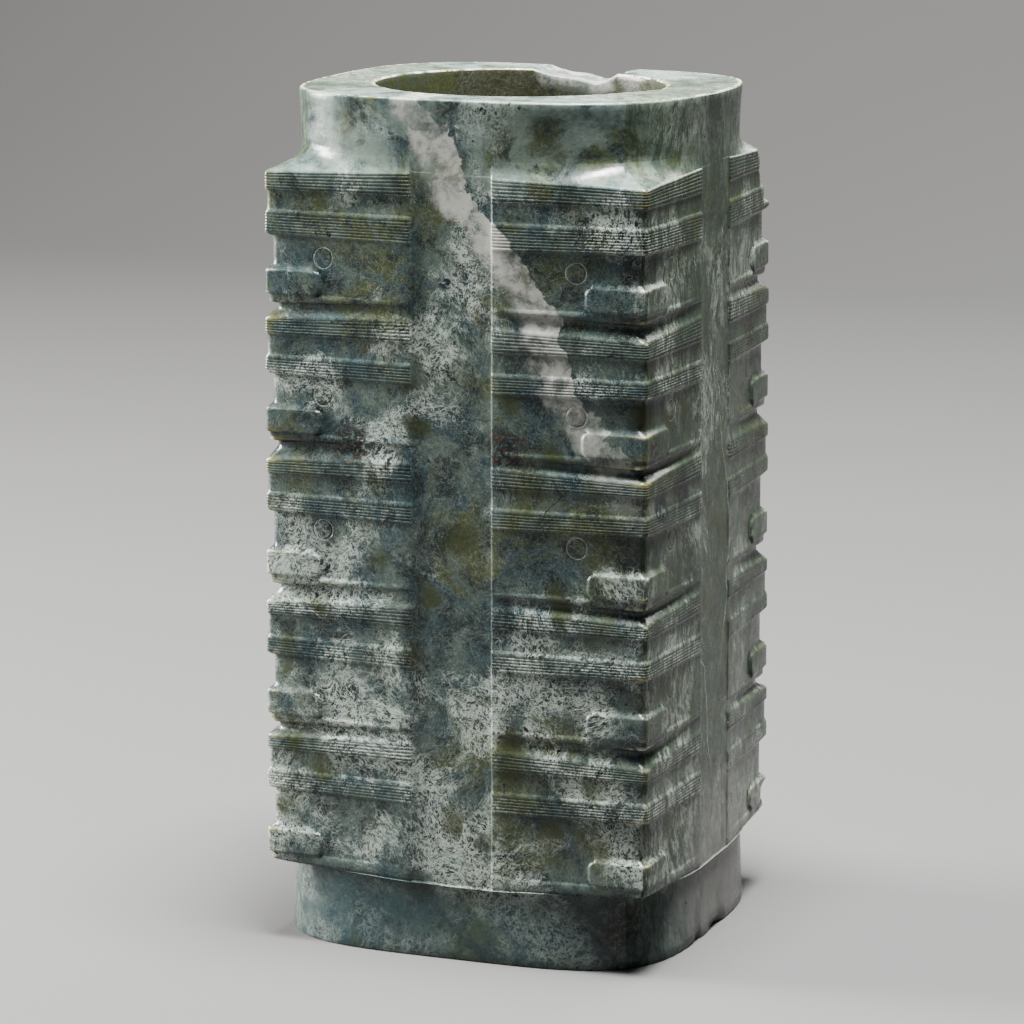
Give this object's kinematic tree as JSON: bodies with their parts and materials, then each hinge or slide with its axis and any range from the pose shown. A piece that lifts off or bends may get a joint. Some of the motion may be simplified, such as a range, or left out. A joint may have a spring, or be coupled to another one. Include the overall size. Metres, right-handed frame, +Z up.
{
  "type": "jade cong",
  "caption": "Tall square tube of carved green-grey jade with a round bore, tiered corner blocks with mask carving, and a low collar at each end.",
  "frame": {"origin": "middle of the underside, on the surface that the foot stands on", "axes": "+Z up along the bore, +X to the right of the front face, -Y out of the front face"},
  "size_m": [0.1078, 0.1006, 0.218],
  "materials": {
    "jade": "polished nephrite: mottled blue-green, olive and grey, with dense white fibrous veins, a pale cream band, and ochre in its thin edges"
  },
  "bodies": {
    "root": {"cong": "jade"}
  },
  "joints": []
}
